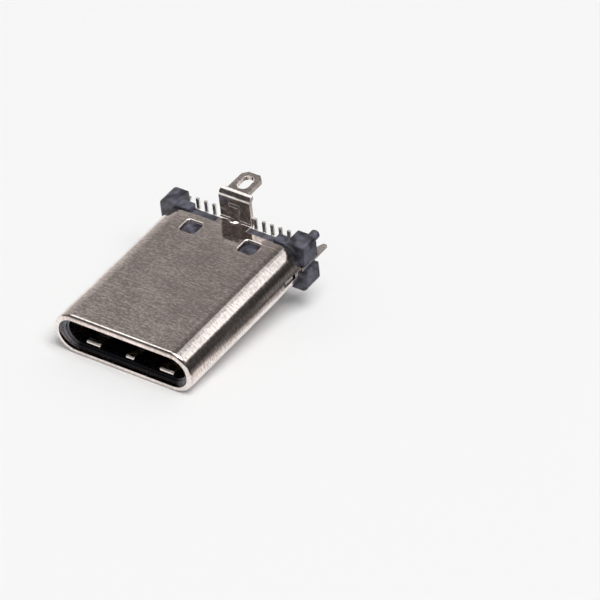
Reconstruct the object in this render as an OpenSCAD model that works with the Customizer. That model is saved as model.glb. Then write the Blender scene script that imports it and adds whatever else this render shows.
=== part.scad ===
// USB-C plug that stands square on a board: rolled steel shell with three folded
// solder legs, black liner, two rear insulators, a latch plate and two rows of spring contacts.
// All pieces are drawn along the plug's own axis: x across, y from the mouth to the board, z up to the
// single leg. The plug is then laid down as it rests, on its front lip and its two lower legs.

/* [Shell] */
// Outer width of the shell
shell_w = 8.25; // [8.15:0.05:8.4]
// Outer height of the shell
shell_h = 2.4; // [2.35:0.01:2.5]
// Length of the shell along the plug's axis
shell_l = 9.44; // [9.2:0.02:10.0]
// Thickness of the shell's sheet, its legs too
sheet_t = 0.25; // [0.22:0.01:0.27]
// Rounding of the outer front edge
lip_r = 0.2; // [0.15:0.01:0.2]
// How far the front edge curls inward
lip_in = 0.045; // [0.02:0.005:0.06]
// Length of the curled front edge
lip_l = 0.3; // [0.26:0.01:0.34]

/* [Shell windows and seam] */
// Distance of each window from the plug's middle
window_x = 1.75; // [1.7:0.01:1.8]
// Width of a window
window_w = 0.9; // [0.8:0.05:1.0]
// Length of a window along the axis
window_l = 0.85; // [0.75:0.05:0.95]
// Strip of sheet left behind the windows
window_back = 0.49; // [0.44:0.01:0.56]
// Rounding of a window's corners
window_r = 0.12; // [0.06:0.01:0.13]
// Length of the slot in each round side
side_slot_l = 0.95; // [0.85:0.05:1.0]
// Room above and below the latch plate in that slot
side_slot_room = 0.05; // [0.03:0.01:0.08]
// Width of the seam line on the underside
seam_w = 0.05; // [0.03:0.01:0.08]
// Depth of the seam line
seam_d = 0.06; // [0.03:0.01:0.08]
// Distance of the seam's dovetail from the mouth
seam_key_y = 2.8; // [2.4:0.1:3.6]
// Length of the dovetail where it leaves the seam
seam_key_neck = 1.18; // [0.9:0.02:1.4]
// Length of the dovetail at its far side
seam_key_head = 1.95; // [1.6:0.05:2.2]
// How far the dovetail reaches to the side
seam_key_out = 0.73; // [0.5:0.01:0.9]

/* [Legs] */
// Width of the upper leg
top_leg_w = 1.86; // [1.6:0.02:1.9]
// Width of each lower leg
low_leg_w = 1.7; // [1.5:0.02:1.75]
// Distance of each lower leg from the plug's middle
low_leg_x = 1.4; // [1.36:0.01:1.5]
// Distance from the shell's rear edge to the upright part of a leg
leg_set = 0.51; // [0.45:0.01:0.6]
// Height of a leg above the shell
leg_rise = 1.65; // [1.4:0.05:1.9]
// Inner radius of the folds
fold_r = 0.15; // [0.1:0.01:0.2]
// Width of the tab at the end of a leg
tab_w = 1.24; // [1.1:0.02:1.4]
// Length of the tab behind the board face
tab_out = 1.25; // [1.1:0.05:1.5]
// Cut at the corners of the tab's tip
tab_cut = 0.28; // [0.15:0.01:0.35]
// Width of the slot in the tab
tab_slot_w = 0.64; // [0.5:0.02:0.7]
// Length of that slot
tab_slot_l = 1.04; // [0.9:0.02:1.1]
// Distance from the fold to the middle of the slot
tab_slot_y = 0.7; // [0.66:0.01:0.78]
// Width of the flat face of the rib pressed into a leg
rib_w = 0.5; // [0.4:0.02:0.56]
// Width of the slope round that face
rib_slope = 0.1; // [0.06:0.01:0.14]
// Height of the pressed rib
rib_h = 0.12; // [0.08:0.01:0.15]
// Distance from the top of a leg to the end of its rib
rib_top = 0.62; // [0.5:0.02:0.8]
// Size of the pressed corner gusset at the foot of a leg
gusset = 0.32; // [0.2:0.02:0.34]
// Width of that gusset
gusset_w = 0.6; // [0.5:0.02:0.7]

/* [Front housing] */
// Thickness of the housing's round sides
liner_side = 0.375; // [0.33:0.005:0.42]
// Thickness of the housing above and below the cavity
liner_t = 0.25; // [0.22:0.01:0.28]
// Depth of the cavity from the mouth
cavity_l = 6.3; // [6.0:0.1:6.6]
// Thickness of the housing's rear wall
rear_wall = 0.7; // [0.5:0.05:0.9]
// Width of the bevel round the cavity's mouth
cavity_bevel = 0.1; // [0.05:0.01:0.14]
// Room above and in front of the contacts' tips in the cavity's walls
beam_room = 0.02; // [0.01:0.005:0.05]

/* [Shield springs] */
// Thickness of a shield spring
spring_t = 0.08; // [0.06:0.01:0.1]
// Distance of the outer pads from the plug's middle
pad_x = 2.2; // [2.1:0.05:2.3]
// Width of the outer pads
pad_w = 0.85; // [0.7:0.05:0.95]
// Width of the middle pad
pad_mid_w = 0.5; // [0.4:0.05:0.6]
// Distance of the pads from the mouth
pad_y = 0.72; // [0.66:0.02:0.8]
// Radius of a pad's round bend
pad_r = 0.2; // [0.16:0.01:0.24]
// Angle through which the tip in front of a pad is bent away from the cavity
pad_tip_turn = 62; // [50:1:70]
// Rounding of the corners at a pad's tip
pad_corner = 0.14; // [0.08:0.01:0.2]
// How far the pads stand into the cavity
pad_in = 0.1; // [0.04:0.01:0.14]
// Distance of the spring's band from the mouth
band_y = 1.5; // [1.4:0.05:1.7]
// Length of the spring's band along the axis
band_l = 0.6; // [0.5:0.05:0.8]
// How far the band runs past the outer pads
band_end = 0.225; // [0.1:0.005:0.3]

/* [Contacts] */
// Contacts in a row
row_count = 12; // [10:1:12]
// Distance between contacts
pitch = 0.5; // [0.48:0.01:0.52]
// Width of a contact
contact_w = 0.18; // [0.16:0.01:0.24]
// Thickness of a contact
contact_t = 0.13; // [0.1:0.01:0.15]
// Height of the contacts above the plug's middle
contact_z = 0.52; // [0.48:0.01:0.56]
// Distance of a contact's tip from the mouth
tip_y = 1.95; // [1.85:0.05:2.2]
// Distance of a contact's bump from the mouth
bump_y = 2.6; // [2.5:0.05:2.9]
// Half the gap between the two rows of bumps
bump_gap = 0.34; // [0.3:0.01:0.38]
// Length of a contact's rounded bump
bump_l = 0.26; // [0.2:0.01:0.3]
// How far the middle of a bump stands out
bump_rise = 0.02; // [0.01:0.005:0.03]
// How far a contact's tip lies above its straight run
tip_rise = 0.13; // [0.08:0.01:0.14]
// Distance of the solder tails' tips below the shell's upper side
tail_set = 0.02; // [0.01:0.01:0.15]
// Radius of the tail's bend
tail_r = 0.15; // [0.12:0.01:0.18]

/* [Insulators] */
// Distance from the shell's rear edge to the board face
seat_l = 1.16; // [1.1:0.01:1.24]
// Distance from the shell's rear edge to the back of the contact block
block_l = 0.62; // [0.55:0.01:0.68]
// Gap between the shell's rear edge and the ears
ear_gap = 0.04; // [0.03:0.01:0.08]
// How far the ears stand out beside the shell
ear_out = 0.225; // [0.175:0.005:0.275]
// Width of an ear
ear_w = 1.05; // [1.0:0.01:1.15]
// How far the ears stand out above the shell
ear_rise = 0.2; // [0.15:0.01:0.25]
// Half the slit between upper and lower ears
ear_slit = 0.2; // [0.16:0.01:0.24]
// Rounding of the outer corner of the ear with the recess
ear_r = 0.4; // [0.3:0.02:0.44]
// Rounding of the outer corner of the ear with the peg
peg_ear_r = 0.15; // [0.1:0.01:0.2]
// Width of the shoulder beside an ear
shoulder_w = 0.76; // [0.7:0.02:0.8]
// How far the shoulders stand out above the shell
shoulder_rise = 0.1; // [0.05:0.01:0.14]
// Distance of peg and recess from the outer side of an ear
peg_set = 0.51; // [0.45:0.01:0.55]
// Distance of peg and recess from the upper side of an ear
peg_drop = 0.51; // [0.48:0.01:0.55]
// Diameter of the peg
peg_d = 0.5; // [0.4:0.01:0.55]
// Length of the peg behind the board face
peg_l = 0.75; // [0.6:0.05:0.9]
// Bevel on the peg's end
peg_bevel = 0.1; // [0.05:0.01:0.15]
// Diameter of the recess
recess_d = 0.6; // [0.55:0.01:0.66]
// Depth of the recess
recess_l = 0.3; // [0.2:0.05:0.4]
// Room round the catch that stands in a shell window
catch_room = 0.06; // [0.04:0.01:0.1]
// Height of the catch above the block at its front
catch_h = 0.13; // [0.1:0.01:0.18]
// How far the catch falls toward its rear
catch_fall = 0.09; // [0.05:0.01:0.09]
// Room on each side of the key between the lower legs
key_room = 0.1; // [0.06:0.01:0.15]
// Distance of the key's top below the shell's outer side
key_drop = 0.02; // [0.01:0.01:0.1]

/* [Latch plate] */
// Thickness of the latch plate
plate_t = 0.2; // [0.16:0.01:0.22]
// Width of the plate between the contact rows
plate_w = 5.44; // [5.2:0.04:5.6]
// How far the plate stands out behind the contact block
plate_out = 0.2; // [0.1:0.02:0.3]
// Distance of the latch arms from the shell's inner side
arm_set = 0.125; // [0.1:0.005:0.15]
// Width of a latch arm
arm_w = 0.3; // [0.25:0.01:0.32]
// Distance of the arms' ends from the mouth
arm_y = 1.6; // [1.5:0.05:1.8]
// How far the hooks reach into the cavity
hook_in = 0.35; // [0.25:0.01:0.4]
// Length of a hook's front slope
hook_front = 0.33; // [0.25:0.01:0.4]
// Length of a hook's inner face
hook_flat = 0.17; // [0.1:0.01:0.25]
// Length of a hook's rear slope
hook_back = 0.5; // [0.4:0.05:0.7]
// Width of the cross bar that carries the arms
bar_l = 1.6; // [1.4:0.05:1.7]
// Distance of a barb's end from the shell's outer side
barb_set = 0.075; // [0.05:0.005:0.12]
// Room in front of and behind a barb in its side slot
barb_room = 0.15; // [0.1:0.01:0.2]
// Width of the plate's side tails
side_tail_w = 0.48; // [0.4:0.02:0.5]
// Distance of the side tails from the outer side of the ears
side_tail_set = 0.15; // [0.1:0.01:0.2]
// Distance of the side tails' tips in front of the tabs' ends
side_tail_back = 0.25; // [0.15:0.01:0.35]
// Width cut off the inner corner of a side tail's tip
side_tail_cut = 0.28; // [0.1:0.02:0.32]
// Length of that cut
side_tail_taper = 0.7; // [0.5:0.05:0.8]
// Gap between the housing and the cross bar
bar_gap = 0.03; // [0.02:0.005:0.05]
// Room round arms, fingers and beams in the housing's slots
slot_room = 0.03; // [0.02:0.005:0.05]

/* [Hidden] */
$fn = 48;
BEND_STEPS = 5;
// Small overlap of pieces that are one solid
JOIN = 0.05;

half_w = shell_w / 2;
half_h = shell_h / 2;
end_x = half_w - half_h;
bore_w = half_w - sheet_t;
bore_h = half_h - sheet_t;
seat_y = shell_l + seat_l;
block_y = shell_l + block_l;
ear_y = shell_l + ear_gap;
ear_x = half_w + ear_out;
ear_z = half_h + ear_rise;
shoulder_x = ear_x - ear_w - shoulder_w;
shoulder_z = half_h + shoulder_rise;
peg_x = ear_x - peg_set;
peg_z = ear_z - peg_drop;
window_y = shell_l - window_back;
side_slot_h = plate_t + 2 * side_slot_room;
cavity_w = 2 * (bore_w - liner_side);
cavity_h = 2 * (bore_h - liner_t);
housing_l = cavity_l + rear_wall;
beam_z = contact_z + tip_rise + contact_t + beam_room;
tail_z = half_h - tail_set;
arm_x = bore_w - arm_set;
side_tail_x = ear_x - side_tail_set;
key_w = 2 * (low_leg_x - low_leg_w / 2 - key_room);
key_z = half_h - key_drop;

// Side view of a leg, from the shell's rear edge round its two folds
fold_out = fold_r + sheet_t;
upright_y = shell_l + leg_set;
foot_y = upright_y - fold_r;
leg_z = half_h + leg_rise;
knee_y = upright_y + fold_out;
knee_z = leg_z - fold_out;
tab_y = seat_y + tab_out;
side_tail_y = tab_y - side_tail_back;
rib_z = leg_z - rib_top;

// Middles and widths of the three pads of a shield spring, the slope of their fingers and the end of their tips
PADS = [[-pad_x, pad_w], [0, pad_mid_w], [pad_x, pad_w]];
pad_z = cavity_h / 2 - pad_in;
pad_tip_y = pad_y - pad_r * sin(pad_tip_turn);
band_z = bore_h - spring_t / 2;
finger_slope = atan2(band_z - pad_z, band_y - pad_y);
band_w = 2 * (pad_x + pad_w / 2 + band_end);

// Angle and height at which the plug rests on its lip and on the knees of its lower legs
lip_c = [lip_r, lip_r - half_h];
knee_c = [knee_y, -knee_z];
reach = knee_c - lip_c;
lean = -atan2(reach[1], reach[0]) - asin((lip_r - fold_out) / norm(reach));
lift = lip_r - lip_c[0] * sin(lean) - lip_c[1] * cos(lean);
front_y = lip_r * cos(lean) - (half_h - lip_r) * sin(lean) - lip_r;
rear_y = tab_y * cos(lean) + leg_z * sin(lean);

STEEL = [0.62, 0.6, 0.57];
PLASTIC = [0.12, 0.12, 0.14];
SPRING_STEEL = [0.78, 0.77, 0.74];
GOLD_FLASH = [0.86, 0.82, 0.7];

// Unit direction from one point to the next, and its left normal
function heading(a, b) = (b - a) / norm(b - a);
function left_of(d) = [-d[1], d[0]];

// Offset of one corner of a path, mitred between the runs that meet there
function mitre(p, i) =
    let (
        before = left_of(heading(p[max(i - 1, 0)], p[max(i, 1)])),
        after = left_of(heading(p[min(i, len(p) - 2)], p[min(i + 1, len(p) - 1)]))
    )
    (before + after) / (1 + before * after);

// Outline of a strip of even thickness along a path
function strip(p, t) = concat(
    [for (i = [0:len(p) - 1]) p[i] + mitre(p, i) * t / 2],
    [for (i = [len(p) - 1:-1:0]) p[i] - mitre(p, i) * t / 2]
);

// Points along an arc
function arc(c, r, a0, a1) = [
    for (i = [0:BEND_STEPS])
        let (a = a0 + (a1 - a0) * i / BEND_STEPS)
        c + r * [cos(a), sin(a)]
];

// Outline of a rectangle round the middle with rounded corners
function round_rect(w, l, r) =
    let (x = w / 2 - r, y = l / 2 - r)
    concat(
        arc([x, y], r, 0, 90), arc([-x, y], r, 90, 180),
        arc([-x, -y], r, 180, 270), arc([x, -y], r, 270, 360)
    );

// Points of one half of an outline followed by their mirror image
function mirrored(half) = concat(half, [for (i = [len(half) - 1:-1:0]) [-half[i][0], half[i][1]]]);

// Extrudes an outline drawn in x and z along the plug's axis
module along(y0, y1) {
    translate([0, y1, 0]) rotate([90, 0, 0]) linear_extrude(y1 - y0) children();
}

// Extrudes an outline drawn in y and z across the plug
module across(w) {
    translate([-w / 2, 0, 0]) rotate([90, 0, 90]) linear_extrude(w) children();
}

// Draws its children on both sides of the middle
module both_sides() {
    children();
    mirror([1, 0, 0]) children();
}

// Rectangle from one corner to the opposite one
module span(a, b) {
    translate(a) square(b - a);
}

// Outline with full round ends
module round_ended(w, h) {
    square([w - h, h], center = true);
    for (s = [-1, 1]) translate([s * (w - h) / 2, 0]) circle(d = h);
}

// Lays a piece down as the plug rests, with the middle of its footprint at the origin
module lay() {
    translate([0, -(front_y + rear_y) / 2, lift]) rotate([lean, 0, 0]) children();
}

// Wall of the shell in section, radius first and then distance from the mouth
module wall_section() {
    span([bore_h, 0], [half_h, shell_l] - [lip_r, 0]);
    span([bore_h, lip_r], [half_h, shell_l]);
    span([bore_h - lip_in, 0], [half_h - lip_r, lip_l]);
    intersection() {
        translate([half_h - lip_r, lip_r]) circle(r = lip_r);
        span([bore_h, 0], [half_h, lip_r]);
    }
}

// Tube with full round sides and a rounded lip
module shell_tube() {
    both_sides()
        translate([end_x, 0, 0]) rotate([-90, 0, 0]) rotate([0, 0, -90])
            rotate_extrude(angle = 180) wall_section();
    for (flip = [0, 1])
        mirror([0, 0, flip]) across(2 * end_x) mirror([1, -1, 0]) wall_section();
}

// Openings through the shell's wall near its rear edge
module shell_openings() {
    both_sides()
        translate([window_x, window_y - window_l / 2, -half_h - JOIN])
            linear_extrude(shell_h + 2 * JOIN) polygon(round_rect(window_w, window_l, window_r));
    translate([-half_w - JOIN, window_y - side_slot_l, -side_slot_h / 2])
        cube([shell_w + 2 * JOIN, side_slot_l, side_slot_h]);
}

// Seam on the underside, straight but for one dovetail
module seam_line() {
    near = seam_key_y - seam_key_neck / 2;
    far = seam_key_y + seam_key_neck / 2;
    flare = (seam_key_head - seam_key_neck) / 2;
    path = [
        [0, -JOIN], [0, near], [-seam_key_out, near - flare],
        [-seam_key_out, far + flare], [0, far], [0, shell_l + JOIN]
    ];
    translate([0, 0, -half_h - JOIN]) linear_extrude(seam_d + JOIN) polygon(strip(path, seam_w));
}

// Quarter bend of the sheet across a leg, turning about its own centre from the given angle
module fold(w, from) {
    rotate([90, 0, 90]) rotate([0, 0, from]) rotate_extrude(angle = 90)
        translate([fold_r, -w / 2]) square([sheet_t, w]);
}

// Flat end of a leg with cut corners and a solder slot
module tab() {
    difference() {
        polygon(mirrored([[tab_w / 2, knee_y], [tab_w / 2, tab_y - tab_cut], [tab_w / 2 - tab_cut, tab_y]]));
        translate([0, knee_y + tab_slot_y]) rotate(90) round_ended(tab_slot_l, tab_slot_w);
    }
}

// Pressed rib: a flat face with sloping sides and end up the middle of a leg, from the given distance forward
module rib_press(y) {
    deep = y + JOIN;
    spread = rib_slope * (1 + JOIN / rib_h);
    top = rib_z - rib_slope;
    intersection() {
        translate([0, 0, half_h + fold_r]) linear_extrude(leg_rise)
            polygon(mirrored([[rib_w / 2, y - rib_h], [rib_w / 2 + spread, deep]]));
        across(rib_w + 2 * spread)
            polygon([[deep, half_h], [y - rib_h, half_h], [y - rib_h, top], [deep, top + spread]]);
    }
}

// Pressed gusset across the inside of a leg's first fold
module leg_gusset() {
    low = [foot_y - gusset, half_h];
    high = [upright_y, half_h + fold_r + gusset];
    slope = atan2(high[1] - low[1], high[0] - low[0]);
    intersection() {
        translate([0, low[0], low[1]]) rotate([slope, 0, 0])
            translate([0, 0, -gusset_w / 2]) rotate([-90, 0, 0])
                cylinder(d = gusset_w, h = norm(high - low));
        across(gusset_w)
            polygon([low, [upright_y + JOIN, half_h - JOIN], [upright_y + JOIN, high[1]], high]);
    }
}

// Solder leg folded out of the upper rear edge
module leg(w) {
    difference() {
        union() {
            translate([-w / 2, shell_l - JOIN, bore_h])
                cube([w, foot_y - shell_l + JOIN, sheet_t]);
            translate([0, foot_y, half_h + fold_r]) fold(w, -90);
            translate([-w / 2, upright_y, half_h + fold_r])
                cube([w, sheet_t, knee_z - half_h - fold_r]);
            translate([0, knee_y, knee_z]) fold(w, 90);
            translate([0, 0, leg_z - sheet_t]) linear_extrude(sheet_t) tab();
            rib_press(upright_y);
            leg_gusset();
        }
        rib_press(upright_y + sheet_t);
    }
}

module shell() {
    color(STEEL) lay() {
        difference() {
            shell_tube();
            shell_openings();
            seam_line();
        }
        leg(top_leg_w);
        mirror([0, 0, 1]) both_sides() translate([low_leg_x, 0, 0]) leg(low_leg_w);
    }
}

// Path of a contact in y and z: tip, bump, beam, straight run and bent tail
function contact_path() =
    let (
        run_y = seat_y - contact_t / 2,
        bend_c = [run_y - tail_r, contact_z + tail_r],
        bump_z = bump_gap + contact_t / 2
    )
    concat(
        [[tip_y, contact_z + tip_rise], [bump_y - bump_l / 2, bump_z + bump_rise]],
        [[bump_y, bump_z], [bump_y + bump_l / 2, bump_z + bump_rise]],
        [[cavity_l, contact_z]],
        arc(bend_c, tail_r, -90, 0),
        [[run_y, tail_z]]
    );

// One contact of the upper row, at its place in the row
module contact(i) {
    color(GOLD_FLASH)
        translate([(i - (row_count + 1) / 2) * pitch, 0, 0])
            across(contact_w) polygon(strip(contact_path(), contact_t));
}

// Outlines of the contacts where they pass straight through a wall
module contact_holes() {
    for (i = [1:row_count])
        translate([(i - (row_count + 1) / 2) * pitch, contact_z])
            square([contact_w, contact_t], center = true);
}

// Path of a shield spring's finger in y and z, from its band to the tip behind the mouth
function finger_path() = concat(
    [[band_y + band_l / 2, band_z], [band_y, band_z]],
    arc([pad_y, pad_z + pad_r], pad_r, finger_slope - 90, -pad_tip_turn - 90)
);

// Finger of a shield spring with rounded corners at its tip
module finger(w) {
    front = pad_tip_y - spring_t;
    l = band_y + band_l / 2 - front;
    intersection() {
        across(w) polygon(strip(finger_path(), spring_t));
        translate([0, front + l / 2, 0]) linear_extrude(half_h) polygon(round_rect(w, l, pad_corner));
    }
}

// Shield spring above the cavity
module emi_spring() {
    color(SPRING_STEEL) {
        translate([-band_w / 2, band_y, bore_h - spring_t]) cube([band_w, band_l, spring_t]);
        for (pad = PADS)
            translate([pad[0], 0, 0]) finger(pad[1]);
    }
}

// Windows and pocket that hold a shield spring in the upper wall of the housing
module spring_pocket() {
    front = pad_tip_y - spring_t;
    translate([-band_w / 2, band_y, bore_h - spring_t])
        cube([band_w, band_l, spring_t + JOIN]);
    for (pad = PADS)
        translate([pad[0] - pad[1] / 2 - slot_room, front, 0])
            cube([pad[1] + 2 * slot_room, band_y - front + JOIN, bore_h + JOIN]);
}

// Slots over the contact beams in the upper wall of the cavity
module beam_slots() {
    front = tip_y - contact_t - beam_room;
    for (i = [1:row_count])
        translate([(i - (row_count + 1) / 2) * pitch - contact_w / 2 - slot_room, front, 0])
            cube([contact_w + 2 * slot_room, cavity_l - front, beam_z]);
}

module front_housing() {
    color(PLASTIC) lay()
        difference() {
            along(lip_l, housing_l) round_ended(2 * bore_w, 2 * bore_h);
            along(lip_l - JOIN, cavity_l) round_ended(cavity_w, cavity_h);
            along(lip_l - JOIN, lip_l + cavity_bevel)
                round_ended(cavity_w + 2 * cavity_bevel, cavity_h + 2 * cavity_bevel);
            for (flip = [0, 1])
                mirror([0, 0, flip]) {
                    spring_pocket();
                    beam_slots();
                    along(cavity_l - JOIN, housing_l + JOIN) contact_holes();
                }
            both_sides()
                translate([arm_x - arm_w - hook_in - slot_room, arm_y - slot_room, -plate_t / 2 - slot_room])
                    cube([
                        arm_w + hook_in + 2 * slot_room, housing_l - arm_y + slot_room + JOIN,
                        plate_t + 2 * slot_room
                    ]);
        }
}

// Ear beside the shell's rear edge, in x and z, with the rounding of its outer corner
module ear_outline(r) {
    span([ear_x - ear_w, ear_slit], [ear_x - r, ear_z]);
    span([ear_x - r - JOIN, ear_slit], [ear_x, ear_z - r]);
    translate([ear_x - r, ear_z - r]) circle(r = r);
}

// Upper half of the space between the shell's walls, above the latch plate
module block_outline() {
    intersection() {
        round_ended(2 * bore_w, 2 * bore_h);
        span([-bore_w, plate_t / 2], [bore_w, bore_h]);
    }
}

// Catch that stands in a shell window, falling toward the rear
module window_catch() {
    front = window_y - window_l + catch_room;
    rear = window_y - catch_room;
    translate([window_x, 0, 0]) across(window_w - 2 * catch_room)
        polygon([
            [front, bore_h - JOIN], [front, bore_h + catch_h],
            [rear, bore_h + catch_h - catch_fall], [rear, bore_h - JOIN]
        ]);
}

// Round peg with a bevelled end, standing on the board face of an ear
module peg() {
    translate([peg_x, seat_y - JOIN, peg_z]) rotate([-90, 0, 0]) {
        cylinder(d = peg_d, h = peg_l - peg_bevel + JOIN);
        translate([0, 0, peg_l - peg_bevel + JOIN])
            cylinder(d1 = peg_d, d2 = peg_d - 2 * peg_bevel, h = peg_bevel);
    }
}

// Rear insulator above the latch plate, with its row of contact channels
module insulator() {
    color(PLASTIC)
        difference() {
            union() {
                along(housing_l, block_y) block_outline();
                both_sides() {
                    along(ear_y, block_y) span([shoulder_x, plate_t / 2], [ear_x - ear_w + JOIN, shoulder_z]);
                    window_catch();
                }
                along(ear_y, seat_y) ear_outline(peg_ear_r);
                mirror([1, 0, 0]) along(ear_y, seat_y) ear_outline(ear_r);
                peg();
            }
            along(housing_l - JOIN, block_y + JOIN) contact_holes();
            translate([-peg_x, seat_y - recess_l, peg_z]) rotate([-90, 0, 0])
                cylinder(d = recess_d, h = recess_l + JOIN);
        }
}

module upper_insulator() {
    lay() insulator();
}

// The lower insulator is the upper one turned over, with a key between the two lower legs
module lower_insulator() {
    lay() rotate([0, 180, 0]) {
        insulator();
        color(PLASTIC)
            along(ear_y, block_y) span([-key_w / 2, bore_h - JOIN], [key_w / 2, key_z]);
    }
}

// Right half of the latch plate's outline, from its rear edge round the side tail, barb and hook
function latch_half() =
    let (
        bar_y = housing_l + bar_gap,
        arm_in = arm_x - arm_w,
        hook_x = arm_in - hook_in,
        hook_y = arm_y + hook_front,
        barb_x = half_w - barb_set,
        barb_rear = window_y - barb_room,
        barb_front = window_y - side_slot_l + barb_room,
        tail_in = side_tail_x - side_tail_w,
        root_y = ear_y + side_tail_w
    )
    [
        [plate_w / 2, block_y + plate_out], [plate_w / 2, bar_y + bar_l],
        [arm_in, bar_y + bar_l], [arm_in, root_y],
        [tail_in, root_y], [tail_in, side_tail_y - side_tail_taper], [tail_in + side_tail_cut, side_tail_y],
        [side_tail_x, side_tail_y], [side_tail_x, ear_y], [arm_x, ear_y],
        [arm_x, barb_rear], [barb_x, barb_rear], [barb_x, barb_front], [arm_x, barb_front],
        [arm_x, arm_y], [arm_in, arm_y], [hook_x, hook_y], [hook_x, hook_y + hook_flat],
        [arm_in, hook_y + hook_flat + hook_back], [arm_in, bar_y]
    ];

module latch_plate() {
    color(SPRING_STEEL) lay()
        translate([0, 0, -plate_t / 2]) linear_extrude(plate_t) polygon(mirrored(latch_half()));
}

module upper_emi_spring() {
    lay() emi_spring();
}

module lower_emi_spring() {
    lay() mirror([0, 0, 1]) emi_spring();
}

shell();
front_housing();
upper_emi_spring();
lower_emi_spring();
upper_insulator();
lower_insulator();
latch_plate();
for (i = [1:row_count]) {
    lay() contact(i);
    lay() mirror([0, 0, 1]) contact(i);
}
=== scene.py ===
"""Looks of a USB-C plug for a board, lying on its front lip and its two lower legs.

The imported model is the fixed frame: every piece is made in metres at the place where the frame has it.
"""

from __future__ import annotations

import logging
import math
from dataclasses import dataclass, field
from enum import Enum, IntEnum

import bmesh
import bpy
from mathutils import Matrix, Vector

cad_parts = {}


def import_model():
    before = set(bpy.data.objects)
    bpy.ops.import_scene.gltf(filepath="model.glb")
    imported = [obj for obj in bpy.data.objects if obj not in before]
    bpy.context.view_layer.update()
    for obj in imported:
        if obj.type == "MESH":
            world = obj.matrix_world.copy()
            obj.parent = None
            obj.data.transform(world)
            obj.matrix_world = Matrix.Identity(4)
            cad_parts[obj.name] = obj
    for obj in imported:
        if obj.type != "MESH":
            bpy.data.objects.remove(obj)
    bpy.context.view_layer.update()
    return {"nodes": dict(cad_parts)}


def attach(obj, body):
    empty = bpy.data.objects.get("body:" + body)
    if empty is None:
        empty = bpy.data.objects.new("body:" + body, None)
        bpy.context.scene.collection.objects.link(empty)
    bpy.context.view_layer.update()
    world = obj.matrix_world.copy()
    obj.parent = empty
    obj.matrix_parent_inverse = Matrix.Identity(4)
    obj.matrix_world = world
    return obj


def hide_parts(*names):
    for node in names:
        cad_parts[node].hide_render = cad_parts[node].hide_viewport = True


LOG = logging.getLogger("usb_c_plug")
MM = 0.001
BODY = "root"
MARK = "mark"

Span = tuple[float, float]
Triple = tuple[float, float, float]
Colour = Triple

WARM: Colour = (1.0, 0.93, 0.9)


class Row(Enum):
    """The two rows of contacts, with the side of the plug's middle that each is on."""

    UPPER = ("a", 1.0)
    LOWER = ("b", -1.0)

    @property
    def letter(self) -> str:
        """Letter that the row's contacts carry in the frame."""
        return self.value[0]

    @property
    def side(self) -> float:
        """1 above the plug's middle, -1 below it."""
        return self.value[1]


class Slot(Enum):
    """Material slots of the record."""

    SHELL = "shell_steel"
    PLASTIC = "black_plastic"
    SPRING = "spring_steel"
    CONTACT = "contact_metal"


class FaceMark(IntEnum):
    """How a face of a dressed piece came about."""

    PLAIN = 0
    ROUNDED = 1
    PRESSED = 2


class Shows(Enum):
    """What a lamp gives: only light on matt surfaces, or only a reflection in glossy ones."""

    LIGHT = "light"
    REFLECTION = "reflection"


@dataclass(frozen=True)
class Lay:
    """How the plug lies on the floor: its axis leans up toward the rear.

    Positions given in plug coordinates are in millimetres, x across, y from the mouth to the board, z up.
    """

    lean_deg: float = 9.2478
    lift: float = 1.15486
    shift: float = 5.99534

    def matrix(self) -> Matrix:
        """Returns the matrix from plug coordinates in millimetres to the frame in metres."""
        place = Matrix.Translation((0.0, -self.shift, self.lift))
        return Matrix.Scale(MM, 4) @ place @ Matrix.Rotation(math.radians(self.lean_deg), 4, "X")

    def point(self, x: float, y: float, z: float) -> Vector:
        """Returns a point of the plug in the frame.

        Args:
            x: Distance across the plug, in millimetres.
            y: Distance from the mouth, in millimetres.
            z: Height above the plug's middle, in millimetres.

        Returns:
            The point in metres.
        """
        return self.matrix() @ Vector((x, y, z))

    def along(self, y: float) -> float:
        """Returns what object coordinates turned along the plug's axis read at a distance from the mouth."""
        turn = Matrix.Rotation(-math.radians(self.lean_deg), 4, "X")
        return (turn @ self.point(0.0, y, 0.0)).y


LAY = Lay()


class NodeWriter:
    """Short calls to fill a node tree."""

    prefix: str = ""

    def __init__(self, tree: bpy.types.NodeTree) -> None:
        """Keeps the tree.

        Args:
            tree: The tree to fill.
        """
        self.tree = tree

    def add(self, kind: str, inputs: dict | None = None, **settings: object) -> bpy.types.Node:
        """Adds a node.

        Args:
            kind: Blender's name of the node type, after the prefix that the tree's nodes share.
            inputs: Values or output sockets by input name or number.
            **settings: Properties of the node.

        Returns:
            The node.
        """
        node = self.tree.nodes.new(self.prefix + kind)
        for key, value in settings.items():
            setattr(node, key, value)
        for key, value in (inputs or {}).items():
            if isinstance(value, bpy.types.NodeSocket):
                self.tree.links.new(value, node.inputs[key])
            else:
                node.inputs[key].default_value = value
        return node


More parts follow.
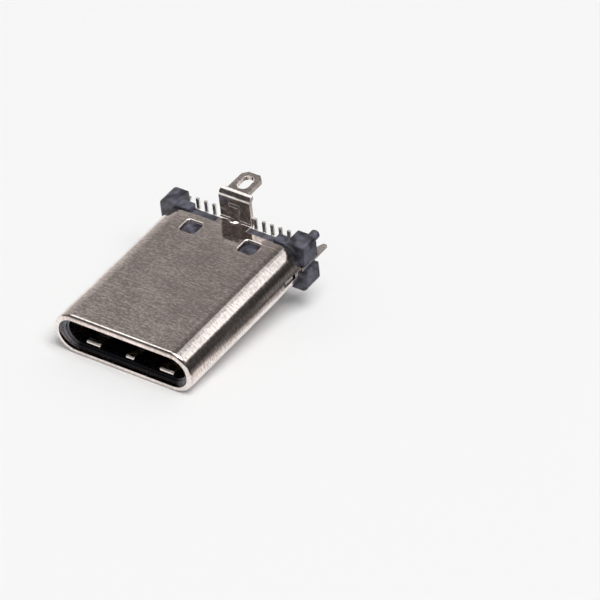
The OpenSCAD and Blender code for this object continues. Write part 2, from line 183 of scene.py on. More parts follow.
class ShaderTree(NodeWriter):
    """The emptied tree of a material or world, with short calls for the nodes that are used most."""

    prefix = "ShaderNode"

    def __init__(self, owner: bpy.types.Material | bpy.types.World) -> None:
        """Empties the owner's tree.

        Args:
            owner: The material or world.
        """
        owner.use_nodes = True
        super().__init__(owner.node_tree)
        self.owner = owner
        self.tree.nodes.clear()

    @classmethod
    def material(cls, name: str) -> ShaderTree:
        """Returns the tree of a new material."""
        return cls(bpy.data.materials.new(name))

    def plug_coordinates(self) -> bpy.types.NodeSocket:
        """Returns object coordinates turned so that y runs along the plug's axis."""
        coordinates = self.add("TexCoord").outputs["Object"]
        turned = self.add(
            "Mapping",
            {"Vector": coordinates, "Rotation": (-math.radians(LAY.lean_deg), 0.0, 0.0)},
        )
        return turned.outputs["Vector"]

    def noise(self, vector: bpy.types.NodeSocket, per_mm: Triple | float,
              detail: float = 2.0) -> bpy.types.NodeSocket:
        """Adds a noise with its own frequency along each axis.

        Args:
            vector: Coordinates in metres.
            per_mm: Cycles in a millimetre along x, y and z, or along all three.
            detail: Octaves of the noise.

        Returns:
            The noise's value, about 0 to 1.
        """
        cycles = (per_mm,) * 3 if isinstance(per_mm, float) else per_mm
        scaled = self.add("Mapping", {"Vector": vector, "Scale": tuple(v / MM for v in cycles)})
        noise = self.add("TexNoise", {"Vector": scaled.outputs["Vector"], "Scale": 1.0, "Detail": detail})
        return noise.outputs["Fac"]

    def ranged(self, value: bpy.types.NodeSocket, low: float, high: float,
               span: Span = (0.3, 0.7)) -> bpy.types.NodeSocket:
        """Maps a value from one range to another, clamped.

        Args:
            value: The value to map.
            low: Result at the start of the span.
            high: Result at its end.
            span: Start and end of the values that are mapped.

        Returns:
            The mapped value.
        """
        node = self.add(
            "MapRange",
            {"Value": value, "From Min": span[0], "From Max": span[1], "To Min": low, "To Max": high},
        )
        return node.outputs["Result"]

    def sum(self, first: bpy.types.NodeSocket, second: bpy.types.NodeSocket,
            share: float) -> bpy.types.NodeSocket:
        """Returns the first value plus a share of the second."""
        node = self.add("Math", {0: second, 1: share, 2: first}, operation="MULTIPLY_ADD")
        return node.outputs["Value"]

    def blend(self, factor: bpy.types.NodeSocket, first: Colour, second: Colour) -> bpy.types.NodeSocket:
        """Returns a colour between two, by a factor."""
        return self.mix(factor, (*first, 1.0), (*second, 1.0))

    def mix(self, factor: bpy.types.NodeSocket, first: object, second: object) -> bpy.types.NodeSocket:
        """Returns a mix of two colours, which are sockets or values with alpha."""
        # The node has sockets of every type; these numbers are the ones for colours.
        return self.add("Mix", {0: factor, 6: first, 7: second}, data_type="RGBA").outputs[2]

    def bump(self, height: bpy.types.NodeSocket, depth_mm: float) -> bpy.types.NodeSocket:
        """Returns a normal from a height field of the given depth."""
        node = self.add("Bump", {"Height": height, "Strength": 1.0, "Distance": depth_mm * MM})
        return node.outputs["Normal"]

    def surface(self, inputs: dict) -> bpy.types.Material:
        """Ends the tree in one principled shader.

        Args:
            inputs: Values or sockets of the shader.

        Returns:
            The finished material.
        """
        shader = self.add("BsdfPrincipled", inputs)
        self.add("OutputMaterial", {"Surface": shader.outputs["BSDF"]})
        return self.owner


@dataclass(frozen=True)
class BrushedSteel:
    """Plated sheet steel, brushed across the plug's width."""

    name: str = "brushed_shell_steel"
    dark: Colour = (0.66, 0.607, 0.58)
    light: Colour = (0.98, 0.903, 0.867)
    smooth: float = 0.08
    rough: float = 0.17
    anisotropy: float = 0.2
    grain_per_mm: Triple = (5.4, 9.6, 5.4)
    brush_per_mm: Triple = (1.1, 12.0, 1.1)
    cloud_per_mm: float = 0.55
    brush_share: float = 0.45
    cloud_share: float = 0.6
    tone_span: Span = (0.86, 1.2)
    gloss_span: Span = (0.5, 0.95)
    depth: float = 0.0016
    fall: float = 0.055
    fall_y: Span = (7.8, 9.44)

    def material(self) -> bpy.types.Material:
        """Returns the material: streaks in colour, gloss and relief, and a rear edge that falls away."""
        t = ShaderTree.material(self.name)
        at = t.plug_coordinates()
        grain = t.noise(at, self.grain_per_mm, detail=3.0)
        brush = t.noise(at, self.brush_per_mm)
        cloud = t.noise(at, self.cloud_per_mm)
        streaks = t.sum(grain, brush, self.brush_share)
        tone = t.sum(streaks, cloud, self.cloud_share)
        lean = math.radians(LAY.lean_deg)
        along = t.add("CombineXYZ", {"Y": math.cos(lean), "Z": math.sin(lean)})
        relief = t.sum(streaks, self.falling(t, at), -self.fall / self.depth)
        return t.surface({
            "Base Color": t.blend(t.ranged(tone, 0.0, 1.0, self.tone_span), self.dark, self.light),
            "Metallic": 1.0,
            "Roughness": t.ranged(streaks, self.smooth, self.rough, self.gloss_span),
            "Anisotropic": self.anisotropy,
            "Tangent": along.outputs["Vector"],
            "Normal": t.bump(relief, self.depth),
        })

    def falling(self, t: ShaderTree, at: bpy.types.NodeSocket) -> bpy.types.NodeSocket:
        """Returns how far the sheet has fallen toward its rear edge, 0 to 1, at the plug coordinates given."""
        split = t.add("SeparateXYZ", {"Vector": at})
        start, end = (LAY.along(y) for y in self.fall_y)
        way = t.ranged(split.outputs["Y"], 0.0, 1.0, (start, end))
        return t.add("Math", {0: way, 1: way}, operation="MULTIPLY").outputs["Value"]


@dataclass(frozen=True)
class MouldedPlastic:
    """Semi-matt moulded plastic with a fine grain."""

    name: str
    dark: Colour = (0.015, 0.015, 0.020)
    light: Colour = (0.115, 0.115, 0.150)
    smooth: float = 0.30
    rough: float = 0.48
    specular: float = 0.5
    index: float = 1.5
    sheen: Colour = (1.0, 1.0, 1.0)
    polished_x: float | None = None
    polish_fade: float = 0.25
    dull: float = 0.06
    grain_per_mm: float = 16.0
    cloud_per_mm: float = 2.2
    tone_span: Span = (0.36, 0.64)
    depth: float = 0.004

    def material(self) -> bpy.types.Material:
        """Returns the material."""
        t = ShaderTree.material(self.name)
        at = t.plug_coordinates()
        grain = t.noise(at, self.grain_per_mm, detail=3.0)
        cloud = t.noise(at, self.cloud_per_mm, detail=4.0)
        return t.surface({
            "Base Color": t.blend(t.ranged(cloud, 0.0, 1.0, self.tone_span), self.dark, self.light),
            "Roughness": t.ranged(grain, self.smooth, self.rough),
            "Specular IOR Level": self.gloss(t),
            "Specular Tint": (*self.sheen, 1.0),
            "IOR": self.index,
            "Normal": t.bump(grain, self.depth),
        })

    def gloss(self, t: ShaderTree) -> float | bpy.types.NodeSocket:
        """Returns the specular level: even, or dull in the middle and full at polished ends."""
        if self.polished_x is None:
            return self.specular
        split = t.add("SeparateXYZ", {"Vector": t.add("TexCoord").outputs["Object"]})
        out = t.add("Math", {0: split.outputs["X"]}, operation="ABSOLUTE")
        span = (self.polished_x - self.polish_fade) * MM, (self.polished_x + self.polish_fade) * MM
        return t.ranged(out.outputs["Value"], self.dull, self.specular, span)


@dataclass(frozen=True)
class BrightStrip:
    """Bright rolled strip, with faint rolling lines along the plug's axis."""

    name: str
    colour: Colour = (0.90, 0.87, 0.84)
    shade: Colour = (0.78, 0.75, 0.72)
    smooth: float = 0.22
    rough: float = 0.27
    lines_per_mm: Triple = (9.0, 0.7, 4.0)
    cloud_per_mm: float = 1.6
    depth: float = 0.0002

    def material(self) -> bpy.types.Material:
        """Returns the material."""
        t = ShaderTree.material(self.name)
        at = t.plug_coordinates()
        lines = t.noise(at, self.lines_per_mm)
        cloud = t.noise(at, self.cloud_per_mm)
        return t.surface({
            "Base Color": t.blend(t.ranged(cloud, 0.0, 1.0), self.colour, self.shade),
            "Metallic": 1.0,
            "Roughness": t.ranged(lines, self.smooth, self.rough),
            "Normal": t.bump(lines, self.depth),
        })


@dataclass(frozen=True)
class PlatedContact:
    """Contact strip, gold where it mates and bright tin at the solder tails."""

    name: str = "plated_contact"
    gold: Colour = (0.83, 0.62, 0.27)
    tin: Colour = (0.80, 0.78, 0.74)
    change_y: float = 5.5
    change_fade: float = 0.1
    smooth: float = 0.28
    rough: float = 0.46
    mottle_per_mm: float = 6.0
    depth: float = 0.0008

    def material(self) -> bpy.types.Material:
        """Returns the material, with its change of plating at one distance from the mouth."""
        t = ShaderTree.material(self.name)
        at = t.plug_coordinates()
        mottle = t.noise(at, self.mottle_per_mm)
        split = t.add("SeparateXYZ", {"Vector": at})
        edge, fade = LAY.along(self.change_y), self.change_fade * MM
        share = t.ranged(split.outputs["Y"], 0.0, 1.0, (edge - fade, edge + fade))
        return t.surface({
            "Base Color": t.blend(share, self.gold, self.tin),
            "Metallic": 1.0,
            "Roughness": t.ranged(mottle, self.smooth, self.rough),
            "Normal": t.bump(mottle, self.depth),
        })


def dress(piece: bpy.types.Object, material: bpy.types.Material, slot: Slot) -> None:
    """Gives a piece its one material and its body.

    Args:
        piece: The piece.
        material: Its material.
        slot: The record's slot that the piece takes its finish from; not used.
    """
    piece.data.materials.clear()
    piece.data.materials.append(material)
    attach(piece, BODY)
    LOG.info("%s: %d faces", piece.name, len(piece.data.polygons))


def new_piece(name: str, mesh: bpy.types.Mesh) -> bpy.types.Object:
    """Links a mesh to the scene as an object at the origin.

    Args:
        name: Name of the piece.
        mesh: Its mesh, in the frame.

    Returns:
        The object.
    """
    piece = bpy.data.objects.new(name, mesh)
    bpy.context.scene.collection.objects.link(piece)
    return piece


def baked(piece: bpy.types.Object) -> bpy.types.Object:
    """Turns a piece's modifiers into its plain mesh.

    Args:
        piece: A piece with live modifiers.

    Returns:
        The same piece without modifiers.
    """
    graph = bpy.context.evaluated_depsgraph_get()
    graph.update()
    mesh = bpy.data.meshes.new_from_object(piece.evaluated_get(graph), depsgraph=graph)
    mesh.name = piece.name
    piece.modifiers.clear()
    piece.data = mesh
    return piece


@dataclass(frozen=True)
class RolledRim:
    """Stretch of a piece whose punched edges are rolled over by the die, in plug coordinates."""

    radius: float
    out_x: Span
    along_y: Span
    out_z: Span

    def holds(self, edge: bmesh.types.BMEdge) -> bool:
        """Tells whether both ends of an edge lie in the stretch."""
        back = LAY.matrix().inverted()
        for corner in edge.verts:
            x, y, z = back @ corner.co
            spans = ((abs(x), self.out_x), (y, self.along_y), (abs(z), self.out_z))
            if not all(low <= value <= high for value, (low, high) in spans):
                return False
        return True


@dataclass(frozen=True)
class PressedGusset:
    """Gusset pressed across a leg's fold, hollow in profile and fading out to both sides, in plug coordinates."""

    x: float
    side: float
    radius: float = 0.37
    fold: float = 0.145
    half_width: float = 0.42
    corner: Span = (9.953, 1.197)
    rear_radius: float = 0.116
    sunk: float = 0.05
    steps: int = 12

    def add(self, shape: bmesh.types.BMesh, mark: bmesh.types.BMLayerItem) -> None:
        """Adds the gusset to a mesh as a closed piece of its own, partly sunk in the sheet.

        Args:
            shape: The mesh.
            mark: Layer that marks how faces came about.
        """
        last = self.steps
        front, rear = self.grid(shape, False), self.grid(shape, True)
        outer, made = [], []
        for i in range(last):
            for j in range(last):
                ring = ((i, j), (i + 1, j), (i + 1, j + 1), (i, j + 1))
                outer.append(shape.faces.new([front[at] for at in ring]))
                made.append(shape.faces.new([rear[at] for at in (ring[0], *reversed(ring[1:]))]))
        for k in range(last):
            for one, two in (((k, 0), (k + 1, 0)), ((last, k), (last, k + 1)),
                             ((k + 1, last), (k, last)), ((0, k + 1), (0, k))):
                made.append(shape.faces.new((front[one], rear[one], rear[two], front[two])))
        bmesh.ops.recalc_face_normals(shape, faces=outer + made)
        for face in outer:
            face[mark] = FaceMark.PRESSED

    def grid(self, shape: bmesh.types.BMesh, rear: bool) -> dict[tuple[int, int], bmesh.types.BMVert]:
        """Adds the points of one side of the gusset to a mesh.

        Args:
            shape: The mesh.
            rear: Whether it is the side sunk in the sheet.

        Returns:
            The points, by their steps across the gusset and up its profile.
        """
        steps = range(self.steps + 1)
        return {(i, j): shape.verts.new(self.point(i, j, rear)) for i in steps for j in steps}

    def point(self, i: int, j: int, rear: bool) -> Vector:
        """Returns a point of the gusset in the frame.

        Args:
            i: Step across the gusset.
            j: Step up its profile.
            rear: Whether the point is on the side sunk in the sheet.

        Returns:
            The point in metres.
        """
        quarter = math.radians(90.0)
        share = 2.0 * i / self.steps - 1.0
        tilt = quarter * j / self.steps
        if rear:
            radius, sunk = self.rear_radius, self.sunk
        else:
            radius, sunk = self.fold + (self.radius - self.fold) * math.cos(quarter * share) ** 2, 0.0
        y = self.corner[0] - radius * (1.0 - math.sin(tilt)) + sunk
        z = self.corner[1] + radius * (1.0 - math.cos(tilt)) - sunk
        return LAY.point(self.x + share * self.half_width, y, z * self.side)


@dataclass(frozen=True)
class SoftEdges:
    """Small rounding of the sharp edges of a piece, as stamping, moulding or plating leaves it."""

    radius: float
    segments: int = 2
    rim_segments: int = 4
    limit_deg: float = 35.0
    flat_deg: float = 0.4
    near_cos: float = 0.3
    merge: float = 0.0015
    rims: tuple[RolledRim, ...] = ()
    gussets: tuple[PressedGusset, ...] = ()

    def copy_of(self, source: bpy.types.Object, name: str) -> bpy.types.Object:
        """Makes a copy of a frame node with rounded edges and even shading.

        Args:
            source: The node's object, which stays as it is.
            name: Name of the new piece.

        Returns:
            The new piece.
        """
        shape = bmesh.new()
        shape.from_mesh(source.data)
        bmesh.ops.remove_doubles(shape, verts=shape.verts, dist=self.merge * MM)
        bmesh.ops.dissolve_limit(
            shape, angle_limit=math.radians(self.flat_deg), use_dissolve_boundaries=False,
            verts=shape.verts, edges=shape.edges, delimit=set(),
        )
        mark = shape.faces.layers.int.new(MARK)
        for rim in self.rims:
            edges = [e for e in self.sharp(shape) if rim.holds(e)]
            self.round_off(shape, edges, rim.radius, self.rim_segments)
        self.round_off(shape, self.sharp(shape), self.radius, self.segments)
        for gusset in self.gussets:
            gusset.add(shape, mark)
        normals = self.normals(shape, mark)
        shape.faces.layers.int.remove(mark)
        mesh = bpy.data.meshes.new(name)
        shape.to_mesh(mesh)
        shape.free()
        mesh.shade_smooth()
        mesh.normals_split_custom_set(normals)
        return new_piece(name, mesh)

    def sharp(self, shape: bmesh.types.BMesh) -> list[bmesh.types.BMEdge]:
        """Returns the edges that turn by more than the limit."""
        limit = math.radians(self.limit_deg)
        return [e for e in shape.edges if e.is_manifold and e.calc_face_angle() > limit]

    @staticmethod
    def round_off(shape: bmesh.types.BMesh, edges: list[bmesh.types.BMEdge], radius: float,
                  segments: int) -> None:
        """Rounds edges off.

        Args:
            shape: The mesh that holds them.
            edges: The edges.
            radius: Width that the rounding takes off each side, in millimetres.
            segments: Faces across the rounding.
        """
        made = bmesh.ops.bevel(
            shape, geom=edges, offset=radius * MM, offset_type="OFFSET", segments=segments,
            profile=0.5, affect="EDGES", clamp_overlap=False, miter_outer="ARC",
        )
        mark = shape.faces.layers.int[MARK]
        for face in made["faces"]:
            face[mark] = FaceMark.ROUNDED

    def normals(self, shape: bmesh.types.BMesh, mark: bmesh.types.BMLayerItem) -> list[Vector]:
        """Works out shading that keeps flat faces flat and lets the roundings run into them.

        Args:
            shape: The mesh.
            mark: Layer that marks how faces came about.

        Returns:
            The normal of each corner, face by face.
        """
        shape.normal_update()
        limit = math.cos(math.radians(self.limit_deg))
        result = []
        for face in shape.faces:
            for corner in face.loops:
                around = corner.vert.link_faces
                plain = [f for f in around if f[mark] == FaceMark.PLAIN]
                base = face
                if face[mark] == FaceMark.PRESSED:
                    around, base = [f for f in around if f[mark] == FaceMark.PRESSED], None
                elif face[mark] == FaceMark.ROUNDED:
                    near = max(plain, key=lambda f: f.normal.dot(face.normal), default=None)
                    base = near if near and near.normal.dot(face.normal) > self.near_cos else None
                joined = [f for f in plain if f.normal.dot(base.normal) > limit] if base else around
                total = Vector()
                for f in joined:
                    total += f.normal * f.calc_area()
                result.append(total.normalized() if total.length else face.normal.copy())
        return result


@dataclass
class Shell:
    """Drawn steel shell with its windows, seam and three folded solder legs."""

    node: str = "shell"
    edges: SoftEdges = SoftEdges(
        radius=0.022,
        rims=(RolledRim(radius=0.11, out_x=(0.9, 2.95), along_y=(7.0, 9.3), out_z=(1.19, 1.21)),),
        gussets=(PressedGusset(-0.12, 1.0), PressedGusset(-1.4, -1.0), PressedGusset(1.4, -1.0)),
    )
    finish: BrushedSteel = BrushedSteel()

    def build(self, nodes: dict[str, bpy.types.Object]) -> bpy.types.Object:
        """Makes the shell in place of its node.

        Args:
            nodes: The frame's nodes by name.

        Returns:
            The piece.
        """
        piece = self.edges.copy_of(nodes[self.node], "shell_body")
        dress(piece, self.finish.material(), Slot.SHELL)
        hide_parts(self.node)
        return piece


@dataclass
class Mouldings:
    """Black liner of the mouth and the two rear insulators."""

    edges: SoftEdges = SoftEdges(radius=0.03)
    # Painted shade: the liner is the same black plastic as the insulators, but its colour is made far darker so that
    # the inside of the mouth stays black.
    liner: MouldedPlastic = MouldedPlastic(
        "liner_plastic_painted_shade", dark=(0.002, 0.002, 0.003), light=(0.005, 0.005, 0.007), smooth=0.16, rough=0.34,
        specular=1.0, index=1.9, sheen=(0.84, 0.88, 1.0), polished_x=3.15, depth=0.001,
    )
    block: MouldedPlastic = MouldedPlastic("insulator_plastic")

    def build(self, nodes: dict[str, bpy.types.Object]) -> list[bpy.types.Object]:
        """Makes the three mouldings in place of their nodes.

        Args:
            nodes: The frame's nodes by name.

        Returns:
            The pieces.
        """
        block = self.block.material()
        pieces = []
        for node, material in (
            ("front_housing", self.liner.material()),
            ("upper_insulator", block),
            ("lower_insulator", block),
        ):
            piece = self.edges.copy_of(nodes[node], node + "_moulding")
            dress(piece, material, Slot.PLASTIC)
            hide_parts(node)
            pieces.append(piece)
        return pieces


@dataclass
class Springs:
    """Shield springs behind the mouth and the latch plate between the insulators."""

    edges: SoftEdges = SoftEdges(radius=0.016)
    finish: BrightStrip = BrightStrip("bright_spring_strip")

    def build(self, nodes: dict[str, bpy.types.Object]) -> list[bpy.types.Object]:
        """Makes the sprung strips in place of their nodes.

        Args:
            nodes: The frame's nodes by name.

        Returns:
            The pieces.
        """
        material = self.finish.material()
        pieces = []
        for node in ("upper_emi_spring", "lower_emi_spring", "latch_plate"):
            piece = self.edges.copy_of(nodes[node], node + "_strip")
            dress(piece, material, Slot.SPRING)
            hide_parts(node)
            pieces.append(piece)
        return pieces


@dataclass
class Contacts:
    """Two rows of contacts: one bent strip, repeated along the row by a node tree."""

    count: int = 12
    pitch: float = 0.5
    width: float = 0.18
    thickness: float = 0.13
    corner: float = 0.02
    corner_points: int = 2
    bend: float = 0.1
    bend_points: int = 5
    crease_deg: float = 50.0
    path: tuple[Span, ...] = (
        (1.95, 0.65), (2.47, 0.425), (2.6, 0.405), (2.73, 0.425), (6.3, 0.52), (10.535, 0.52), (10.535, 1.18),
    )
    finish: PlatedContact = PlatedContact()

    def tree(self) -> bpy.types.NodeTree:
        """Returns the node tree that sweeps a contact along its path and repeats it along the row."""
        tree = bpy.data.node_groups.new("contact_row", "GeometryNodeTree")
        tree.is_modifier = True
        face = tree.interface
        face.new_socket("Geometry", in_out="INPUT", socket_type="NodeSocketGeometry")
        for name, kind in (
            ("Count", "NodeSocketInt"), ("Pitch", "NodeSocketFloat"), ("Width", "NodeSocketFloat"),
            ("Thickness", "NodeSocketFloat"), ("Corner", "NodeSocketFloat"), ("Bend", "NodeSocketFloat"),
            ("Material", "NodeSocketMaterial"),
        ):
            face.new_socket(name, in_out="INPUT", socket_type=kind)
        face.new_socket("Geometry", in_out="OUTPUT", socket_type="NodeSocketGeometry")
        t = NodeWriter(tree)
        given = t.add("NodeGroupInput").outputs
        line = t.add("GeometryNodeMeshToCurve", {"Mesh": given["Geometry"]})
        bends = t.add(
            "GeometryNodeFilletCurve",
            {"Curve": line.outputs["Curve"], "Radius": given["Bend"], "Count": self.bend_points}, mode="POLY",
        )
        turned = t.add(
            "GeometryNodeSetCurveNormal", {"Curve": bends.outputs["Curve"], "Normal": (1.0, 0.0, 0.0)}, mode="FREE",
        )
        section = t.add(
            "GeometryNodeCurvePrimitiveQuadrilateral", {"Width": given["Width"], "Height": given["Thickness"]},
        )
        rounded = t.add(
            "GeometryNodeFilletCurve",
            {"Curve": section.outputs["Curve"], "Radius": given["Corner"], "Count": self.corner_points}, mode="POLY",
        )
        sweep = t.add("GeometryNodeCurveToMesh", {
            "Curve": turned.outputs["Curve"], "Profile Curve": rounded.outputs["Curve"], "Fill Caps": True,
        })
        # The row is centred, so it starts (count - 1) / 2 steps back.
        step = t.add("ShaderNodeCombineXYZ", {"X": given["Pitch"]}).outputs["Vector"]
        back = t.add("ShaderNodeMath", {0: given["Count"], 1: -0.5, 2: 0.5}, operation="MULTIPLY_ADD")
        start = t.add("ShaderNodeVectorMath", {0: step, "Scale": back.outputs["Value"]}, operation="SCALE")
        places = t.add("GeometryNodeMeshLine", {
            "Count": given["Count"], "Start Location": start.outputs["Vector"], "Offset": step,
        })
        copies = t.add("GeometryNodeInstanceOnPoints", {
            "Points": places.outputs["Mesh"], "Instance": sweep.outputs["Mesh"],
        })
        solid = t.add("GeometryNodeRealizeInstances", {"Geometry": copies.outputs["Instances"]})
        clad = t.add("GeometryNodeSetMaterial", {
            "Geometry": solid.outputs["Geometry"], "Material": given["Material"],
        })
        t.add("NodeGroupOutput", {"Geometry": clad.outputs["Geometry"]})
        return tree

    def build(self) -> list[bpy.types.Object]:
        """Makes both rows in place of the contacts' nodes.

        Returns:
            The two pieces.
        """
        tree, material = self.tree(), self.finish.material()
        values = {
            "Count": self.count, "Pitch": self.pitch * MM, "Width": self.width * MM,
            "Thickness": self.thickness * MM, "Corner": self.corner * MM, "Bend": self.bend * MM,
            "Material": material,
        }
        pieces = []
        for row in Row:
            points = [LAY.point(0.0, y, row.side * z) for y, z in self.path]
            mesh = bpy.data.meshes.new("contact_path")
            mesh.from_pydata(points, [(i, i + 1) for i in range(len(points) - 1)], [])
            piece = new_piece(f"{row.name.lower()}_contact_row", mesh)
            modifier = piece.modifiers.new("row", "NODES")
            modifier.node_group = tree
            for item in tree.interface.items_tree:
                if item.in_out == "INPUT" and item.name in values:
                    modifier[item.identifier] = values[item.name]
            baked(piece)
            self.face_outward(piece.data)
            dress(piece, material, Slot.CONTACT)
            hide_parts(*(f"contact_{row.letter}{i}" for i in range(1, self.count + 1)))
            pieces.append(piece)
        return pieces

    def face_outward(self, mesh: bpy.types.Mesh) -> None:
        """Turns all faces outward and shades the mesh smooth up to its corners."""
        shape = bmesh.new()
        shape.from_mesh(mesh)
        bmesh.ops.recalc_face_normals(shape, faces=shape.faces)
        shape.to_mesh(mesh)
        shape.free()
        mesh.shade_smooth()
        mesh.set_sharp_from_angle(angle=math.radians(self.crease_deg))


@dataclass(frozen=True)
class Softbox:
    """A rectangular lamp that looks at the plug."""

    name: str
    azimuth_deg: float
    elevation_deg: float
    distance: float
    width: float
    height: float
    level: float
    shows: Shows

    def build(self, target: Vector) -> bpy.types.Object:
        """Makes the lamp.

        Args:
            target: The point that it looks at.

        Returns:
            The lamp.
        """
        lamp = bpy.data.lights.new(self.name, "AREA")
        lamp.shape = "RECTANGLE"
        lamp.size, lamp.size_y = self.width, self.height
        lamp.energy = self.level * math.pi * self.width * self.height
        a, e = math.radians(self.azimuth_deg), math.radians(self.elevation_deg)
        toward = Vector((math.sin(a) * math.cos(e), math.cos(a) * math.cos(e), math.sin(e)))
        thing = bpy.data.objects.new(self.name, lamp)
        thing.location = target + toward * self.distance
        thing.rotation_mode = "QUATERNION"
        thing.rotation_quaternion = toward.to_track_quat("Z", "Y")
        thing.visible_diffuse = self.shows is Shows.LIGHT
        thing.visible_glossy = self.shows is Shows.REFLECTION
        bpy.context.scene.collection.objects.link(thing)
        return thing


@dataclass(frozen=True)
class ToneCard:
    """A card that shows only in glossy surfaces: rows of points in millimetres, each with its tone."""

    name: str
    points: tuple[tuple[Triple, ...], ...]
    tones: tuple[tuple[float, ...], ...]
    tint: Colour = WARM

    def build(self) -> bpy.types.Object:
        """Makes the card.

        Returns:
            The card.
        """
        wide = len(self.points[0])
        corners = [Vector(p) * MM for row in self.points for p in row]
        faces = [
            (r * wide + c, r * wide + c + 1, (r + 1) * wide + c + 1, (r + 1) * wide + c)
            for r in range(len(self.points) - 1) for c in range(wide - 1)
        ]
        mesh = bpy.data.meshes.new(self.name)
        mesh.from_pydata(corners, [], faces)
        shades = mesh.color_attributes.new("tone", "FLOAT_COLOR", "POINT")
        for i, tone in enumerate(v for row in self.tones for v in row):
            shades.data[i].color = (*(tone * t for t in self.tint), 1.0)
        t = ShaderTree.material(self.name)
        tone = t.add("VertexColor", layer_name="tone")
        light = t.add("Emission", {"Color": tone.outputs["Color"], "Strength": 1.0})
        t.add("OutputMaterial", {"Surface": light.outputs["Emission"]})
        t.owner.cycles.emission_sampling = "NONE"
        mesh.materials.append(t.owner)
        card = new_piece(self.name, mesh)
        for ray in ("camera", "diffuse", "shadow", "transmission"):
            setattr(card, f"visible_{ray}", False)
        return card


def right_card() -> ToneCard:
    """Returns the dark card on the right, which rises with the plug's lean and has a strip on the floor beside the
    plug whose tones are painted shadow of the floor, seen only in reflections.
    """
    along = (-8.0, -2.6, -0.2, 2.5, 6.0, 18.0)
    # Painted shadow: this strip lies just above the floor beside the plug, and its tones darken toward the rear and
    # away from the plug, as the shaded floor there would look in reflections.
    painted_floor_shadow = (
        (4.9, (0.86, 0.86, 0.74, 0.72, 0.72, 0.72)), (5.6, (0.86, 0.84, 0.60, 0.55, 0.55, 0.55)),
        (6.2, (0.86, 0.80, 0.45, 0.40, 0.40, 0.40)),
    )
    upright_x, off_floor = 6.6, 0.012
    upright = (
        (-0.05, (0.80, 0.70, 0.27, 0.16, 0.16, 0.16)), (0.78, (0.45, 0.42, 0.10, 0.08, 0.08, 0.08)),
        (1.4, (0.20, 0.20, 0.08, 0.16, 0.16, 0.16)), (1.99, (0.10, 0.10, 0.09, 0.16, 0.16, 0.16)),
        (2.5, (0.04, 0.04, 0.08, 0.07, 0.07, 0.07)), (3.1, (0.05, 0.05, 0.06, 0.03, 0.03, 0.03)),
        (4.38, (0.06,) * 6), (4.9, (0.13,) * 6), (5.3, (0.35,) * 6),
    )
    rise = math.tan(math.radians(LAY.lean_deg))
    points = [tuple((x, y, off_floor) for y in along) for x, _ in painted_floor_shadow]
    points += [tuple((upright_x, y, max(off_floor, z + rise * y)) for y in along) for z, _ in upright]
    return ToneCard("right_card", tuple(points), tuple(tones for _, tones in painted_floor_shadow + upright))


def front_card() -> ToneCard:
    """Returns the white card ahead of the mouth, which darkens toward its top."""
    across, ahead_y = (-6.0, 3.4), -7.5
    rows = ((0.02, 1.0), (1.75, 1.0), (2.1, 0.8), (2.4, 0.5), (2.7, 0.3), (3.1, 0.14), (3.6, 0.08))
    points = tuple(tuple((x, ahead_y, z) for x in across) for z, _ in rows)
    return ToneCard("front_card", points, tuple((tone, tone) for _, tone in rows))


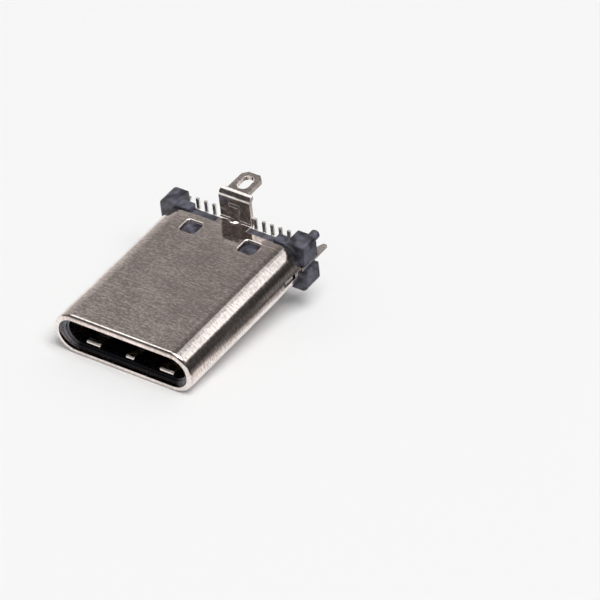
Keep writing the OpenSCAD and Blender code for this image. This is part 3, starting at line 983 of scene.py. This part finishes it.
@dataclass
class Studio:
    """Pale floor and surroundings, with soft lamps above, a card on the right and one ahead of the mouth."""

    pale: float = 0.915
    paint: float = 0.9
    glow: float = 0.02
    fill: float = 0.3
    floor_half: float = 0.6
    rear_sky: tuple[Span, ...] = (
        (0.0, 0.74), (0.1, 0.60), (0.24, 0.53), (0.375, 0.475), (0.5, 0.425), (0.62, 0.35), (0.72, 0.232),
        (0.8, 0.16), (0.86, 0.14),
    )
    front_sky: tuple[Span, ...] = ((0.0, 0.8), (0.12, 0.075))
    sky_change: Span = (-0.35, 0.15)
    tint: Colour = WARM
    tint_fade: Span = (0.9, 0.6)
    cards: tuple[ToneCard, ...] = field(default_factory=lambda: (right_card(), front_card()))
    target: Vector = field(default_factory=lambda: Vector((0.0, 0.0, 0.002)))
    lamps: tuple[Softbox, ...] = (
        Softbox("main_lamp", 118.0, 63.0, 4.0, 2.4, 2.4, 7.8, Shows.LIGHT),
        Softbox("top_softbox", 135.0, 78.0, 0.30, 0.26, 0.26, 3.2, Shows.REFLECTION),
        Softbox("rear_softbox", 47.0, 50.0, 0.30, 0.19, 0.14, 0.92, Shows.REFLECTION),
        Softbox("rear_softbox_end", 6.0, 57.0, 0.30, 0.075, 0.10, 0.5, Shows.REFLECTION),
        Softbox("left_softbox", -80.0, 58.0, 0.30, 0.19, 0.085, 1.3, Shows.REFLECTION),
    )

    def floor(self) -> bpy.types.Object:
        """Makes the floor, which is matt and glows faintly to the camera and in reflections."""
        s = self.floor_half
        mesh = bpy.data.meshes.new("floor")
        mesh.from_pydata([(-s, -s, 0.0), (s, -s, 0.0), (s, s, 0.0), (-s, s, 0.0)], [], [(0, 1, 2, 3)])
        t = ShaderTree.material("pale_floor")
        path = t.add("LightPath")
        seen = path.outputs["Is Camera Ray"]
        for ray in ("Is Glossy Ray", "Is Transmission Ray"):
            seen = t.add("Math", {0: seen, 1: path.outputs[ray]}, operation="MAXIMUM").outputs["Value"]
        glow = t.add("Math", {0: seen, 1: self.pale * self.glow}, operation="MULTIPLY")
        paint = t.add("BsdfDiffuse", {"Color": (self.paint, self.paint, self.paint, 1.0)})
        light = t.add("Emission", {"Color": (1.0, 1.0, 1.0, 1.0), "Strength": glow.outputs["Value"]})
        both = t.add("AddShader", {0: paint.outputs["BSDF"], 1: light.outputs["Emission"]})
        t.add("OutputMaterial", {"Surface": both.outputs["Shader"]})
        mesh.materials.append(t.owner)
        floor = new_piece("floor", mesh)
        return floor

    def surroundings(self) -> bpy.types.World:
        """Makes the world.

        Returns:
            The world: plain to the camera; in reflections pale at the horizon, dim above, dark behind the camera.
        """
        world = bpy.data.worlds.new("surroundings")
        t = ShaderTree(world)
        split = t.add("SeparateXYZ", {"Vector": t.add("TexCoord").outputs["Generated"]})
        facing = t.ranged(split.outputs["Y"], 0.0, 1.0, self.sky_change)
        front, rear = (self.sky(t, split.outputs["Z"], stops) for stops in (self.front_sky, self.rear_sky))
        path = t.add("LightPath")
        shown = t.mix(facing, front, rear)
        for ray, tone in (("Is Diffuse Ray", self.fill), ("Is Camera Ray", self.pale)):
            shown = t.mix(path.outputs[ray], shown, (tone, tone, tone, 1.0))
        light = t.add("Background", {"Color": shown})
        t.add("OutputWorld", {"Surface": light.outputs["Background"]})
        bpy.context.scene.world = world
        return world

    def sky(self, t: ShaderTree, height: bpy.types.NodeSocket, stops: tuple[Span, ...]) -> bpy.types.NodeSocket:
        """Adds one side of the sky to the world.

        Args:
            t: The world's tree.
            height: Height of the direction looked at, 0 at the horizon and 1 straight up.
            stops: Heights and their tones.

        Returns:
            The colour.
        """
        ramp = t.add("ValToRGB", {"Fac": height})
        marks = ramp.color_ramp.elements
        marks.remove(marks[1])
        marks[0].position, marks[0].color = stops[0][0], self.tinted(stops[0][1])
        for place, tone in stops[1:]:
            marks.new(place).color = self.tinted(tone)
        return ramp.outputs["Color"]

    def tinted(self, tone: float) -> tuple[float, float, float, float]:
        """Returns a tone in the surroundings' tint, which fades out toward white."""
        pale, deep = self.tint_fade
        share = min(1.0, max(0.0, (pale - tone) / (pale - deep)))
        return (*(tone * (1.0 + share * (t - 1.0)) for t in self.tint), 1.0)

    def build(self) -> None:
        """Makes the whole studio and sets how the picture shows colour."""
        self.floor()
        for card in self.cards:
            card.build()
        self.surroundings()
        for lamp in self.lamps:
            lamp.build(self.target)
        bpy.context.scene.view_settings.view_transform = "Standard"


@dataclass(frozen=True)
class ViewCamera:
    """Camera at the photograph's viewing angle."""

    place: Triple = (136.8928, -188.8815, 145.2182)
    azimuth_deg: float = 34.6514
    elevation_deg: float = 31.6999
    lens: float = 334.24
    sensor: float = 36.0
    clip: Span = (0.01, 20.0)

    def build(self) -> bpy.types.Object:
        """Makes the camera and gives it to the scene.

        Returns:
            The camera.
        """
        data = bpy.data.cameras.new("view")
        data.lens, data.sensor_width = self.lens, self.sensor
        data.clip_start, data.clip_end = self.clip
        a, e = math.radians(self.azimuth_deg), math.radians(self.elevation_deg)
        back = Vector((math.sin(a) * math.cos(e), -math.cos(a) * math.cos(e), math.sin(e)))
        camera = bpy.data.objects.new("view", data)
        camera.location = Vector(self.place) * MM
        camera.rotation_mode = "QUATERNION"
        camera.rotation_quaternion = (-back).to_track_quat("-Z", "Y")
        bpy.context.scene.collection.objects.link(camera)
        bpy.context.scene.camera = camera
        return camera


def main() -> None:
    """Dresses the plug, lights it and points the camera at it."""
    logging.basicConfig(level=logging.INFO, format="%(message)s")
    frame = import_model()
    ViewCamera().build()
    Shell().build(frame["nodes"])
    Mouldings().build(frame["nodes"])
    Springs().build(frame["nodes"])
    Contacts().build()
    Studio().build()


if __name__ == "__main__":
    main()
